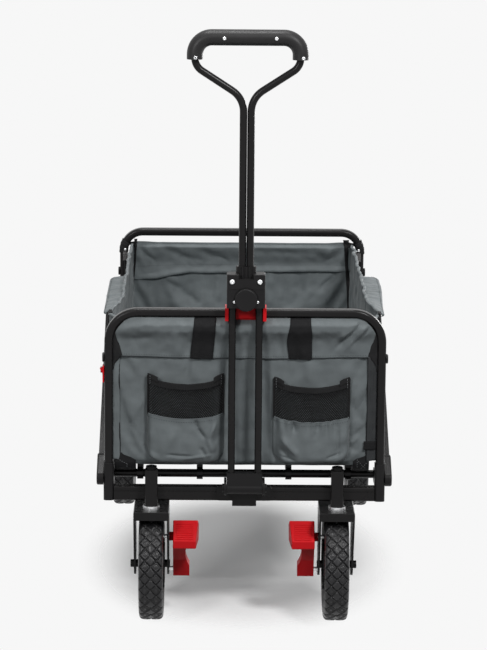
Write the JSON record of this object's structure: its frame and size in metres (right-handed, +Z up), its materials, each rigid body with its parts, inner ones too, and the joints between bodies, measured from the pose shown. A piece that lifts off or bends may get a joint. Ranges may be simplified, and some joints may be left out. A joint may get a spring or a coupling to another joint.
{
  "type": "wagon with pull handle",
  "caption": "Folding pull wagon: fabric basket between two tube hoops on swivelling front and fixed rear wheels, foot brakes, telescopic pull handle, floor that folds up in the middle.",
  "frame": {"origin": "on the ground, below the middle of the wagon's box", "axes": "+Z up, -Y towards the pull handle, +X to the right of someone facing the handle end"},
  "size_m": [0.4886, 0.909, 0.9834],
  "materials": {
    "black_steel": "satin black powder coat",
    "bright_steel": "zinc-plated",
    "black_bolts": "blackened",
    "black_plastic": "fine moulded texture",
    "grip_plastic": "soft satin",
    "red_plastic": "semi-gloss moulding",
    "grey_fabric": "plain-weave polyester",
    "black_webbing": "woven webbing",
    "tyre_rubber": "matte rubber",
    "rim_plastic": "moulded"
  },
  "bodies": {
    "front_frame": {"front_hoop": "black_steel", "front_crossbar": "black_steel", "front_pivot_bar": "black_steel", "front_corner_blocks": "black_plastic", "caster_housings": "black_steel", "handle_bracket": "black_steel", "handle_hinge_pin": "bright_steel", "handle_clip": "red_plastic", "front_bolts": "black_bolts", "front_panel": "grey_fabric", "front_pockets": "grey_fabric", "front_straps": "black_webbing", "side_walls": "grey_fabric", "side_flaps": "grey_fabric"},
    "floor_front": {"floor_frame_front": "black_steel", "floor_board_front": "grey_fabric", "floor_hinge_pins": "bright_steel"},
    "floor_rear": {"floor_frame_rear": "black_steel", "floor_board_rear": "grey_fabric"},
    "rear_frame": {"rear_hoop": "black_steel", "rear_crossbar": "black_steel", "rear_pivot_bar": "black_steel", "rear_corner_blocks": "black_plastic", "rear_axle_brackets": "black_steel", "rear_axles": "bright_steel", "rear_bolts": "black_bolts", "rear_panel": "grey_fabric"},
    "handle_lower": {"handle_yoke": "black_plastic", "lower_tubes": "black_steel", "slider_block": "black_plastic"},
    "handle_upper": {"upper_tubes": "black_steel", "grip_front": "grip_plastic", "grip_rear": "grip_plastic"},
    "lock_button": {"lock_button": "black_plastic", "button_spring": "bright_steel"},
    "fold_latch": {"fold_latch": "red_plastic"},
    "front_link_left": {"front_link_left": "black_steel"},
    "rear_link_left": {"rear_link_left": "black_steel"},
    "caster_left": {"caster_fork_left": "black_steel", "caster_fasteners_left": "bright_steel"},
    "front_wheel_left": {"front_tyre_left": "tyre_rubber", "front_rim_left": "rim_plastic", "front_bearings_left": "bright_steel"},
    "brake_left": {"brake_pedal_left": "red_plastic", "brake_stub_left": "bright_steel"},
    "rear_wheel_left": {"rear_tyre_left": "tyre_rubber", "rear_rim_left": "rim_plastic", "rear_bearings_left": "bright_steel"},
    "front_link_right": {"front_link_right": "black_steel"},
    "rear_link_right": {"rear_link_right": "black_steel"},
    "caster_right": {"caster_fork_right": "black_steel", "caster_fasteners_right": "bright_steel"},
    "front_wheel_right": {"front_tyre_right": "tyre_rubber", "front_rim_right": "rim_plastic", "front_bearings_right": "bright_steel"},
    "brake_right": {"brake_pedal_right": "red_plastic", "brake_stub_right": "bright_steel"},
    "rear_wheel_right": {"rear_tyre_right": "tyre_rubber", "rear_rim_right": "rim_plastic", "rear_bearings_right": "bright_steel"}
  },
  "joints": [
    {"name": "fold", "type": "hinge", "parent": "front_frame", "child": "floor_front", "pos_m": [0, -0.3415, 0.243], "axis": [1, 0, 0], "range_deg": [0, 78], "deforming": ["side_walls", "side_flaps"]},
    {"name": "floor_middle", "type": "hinge", "parent": "floor_front", "child": "floor_rear", "pos_m": [0, 0.0065, 0.238], "axis": [1, 0, 0], "range_deg": [-156, 0]},
    {"name": "floor_rear_end", "type": "hinge", "parent": "floor_rear", "child": "rear_frame", "pos_m": [0, 0.3545, 0.243], "axis": [1, 0, 0], "range_deg": [0, 78]},
    {"name": "front_link_left", "type": "hinge", "parent": "front_frame", "child": "front_link_left", "pos_m": [-0.232, -0.3735, 0.243], "axis": [1, 0, 0], "range_deg": [0, 45.53]},
    {"name": "rear_link_left", "type": "hinge", "parent": "rear_frame", "child": "rear_link_left", "pos_m": [-0.232, 0.3865, 0.243], "axis": [1, 0, 0], "range_deg": [-45.53, 0]},
    {"name": "caster_swivel_left", "type": "hinge", "parent": "front_frame", "child": "caster_left", "pos_m": [-0.1525, -0.39375, 0.196], "axis": [0, 0, 1], "continuous": true},
    {"name": "front_wheel_spin_left", "type": "hinge", "parent": "caster_left", "child": "front_wheel_left", "pos_m": [-0.1525, -0.3615, 0.093], "axis": [1, 0, 0], "continuous": true},
    {"name": "brake_left", "type": "hinge", "parent": "caster_left", "child": "brake_left", "pos_m": [-0.1525, -0.3415, 0.079], "axis": [1, 0, 0], "range_deg": [0, 20]},
    {"name": "rear_wheel_spin_left", "type": "hinge", "parent": "rear_frame", "child": "rear_wheel_left", "pos_m": [-0.221, 0.3615, 0.093], "axis": [1, 0, 0], "continuous": true},
    {"name": "front_link_right", "type": "hinge", "parent": "front_frame", "child": "front_link_right", "pos_m": [0.232, -0.3735, 0.243], "axis": [1, 0, 0], "range_deg": [0, 45.53]},
    {"name": "rear_link_right", "type": "hinge", "parent": "rear_frame", "child": "rear_link_right", "pos_m": [0.232, 0.3865, 0.243], "axis": [1, 0, 0], "range_deg": [-45.53, 0]},
    {"name": "caster_swivel_right", "type": "hinge", "parent": "front_frame", "child": "caster_right", "pos_m": [0.1525, -0.39375, 0.196], "axis": [0, 0, 1], "continuous": true},
    {"name": "front_wheel_spin_right", "type": "hinge", "parent": "caster_right", "child": "front_wheel_right", "pos_m": [0.1525, -0.3615, 0.093], "axis": [1, 0, 0], "continuous": true},
    {"name": "brake_right", "type": "hinge", "parent": "caster_right", "child": "brake_right", "pos_m": [0.1525, -0.3415, 0.079], "axis": [1, 0, 0], "range_deg": [0, 20]},
    {"name": "rear_wheel_spin_right", "type": "hinge", "parent": "rear_frame", "child": "rear_wheel_right", "pos_m": [0.221, 0.3615, 0.093], "axis": [1, 0, 0], "continuous": true},
    {"name": "handle_tilt", "type": "hinge", "parent": "front_frame", "child": "handle_lower", "pos_m": [0, -0.4095, 0.236], "axis": [1, 0, 0], "range_deg": [0, 95]},
    {"name": "handle_telescope", "type": "slide", "parent": "handle_lower", "child": "handle_upper", "axis": [0, -0.0401, -0.9992], "range_m": [0, 0.24]},
    {"name": "lock_button", "type": "slide", "parent": "handle_lower", "child": "lock_button", "axis": [0, 0.9992, -0.0401], "range_m": [0, 0.005], "stiffness_N_per_m": 400, "deforming": ["button_spring"]},
    {"name": "fold_latch", "type": "hinge", "parent": "front_frame", "child": "fold_latch", "pos_m": [-0.2305, -0.3735, 0.425], "axis": [1, 0, 0], "range_deg": [0, 35]}
  ],
  "couplings": [
    {"joint": "floor_middle", "follows": "fold", "ratio": -2},
    {"joint": "floor_rear_end", "follows": "fold", "ratio": 1},
    {"joint": "front_link_left", "follows": "fold", "ratio": 0.58366},
    {"joint": "rear_link_left", "follows": "fold", "ratio": -0.58366},
    {"joint": "front_link_right", "follows": "fold", "ratio": 0.58366},
    {"joint": "rear_link_right", "follows": "fold", "ratio": -0.58366}
  ]
}
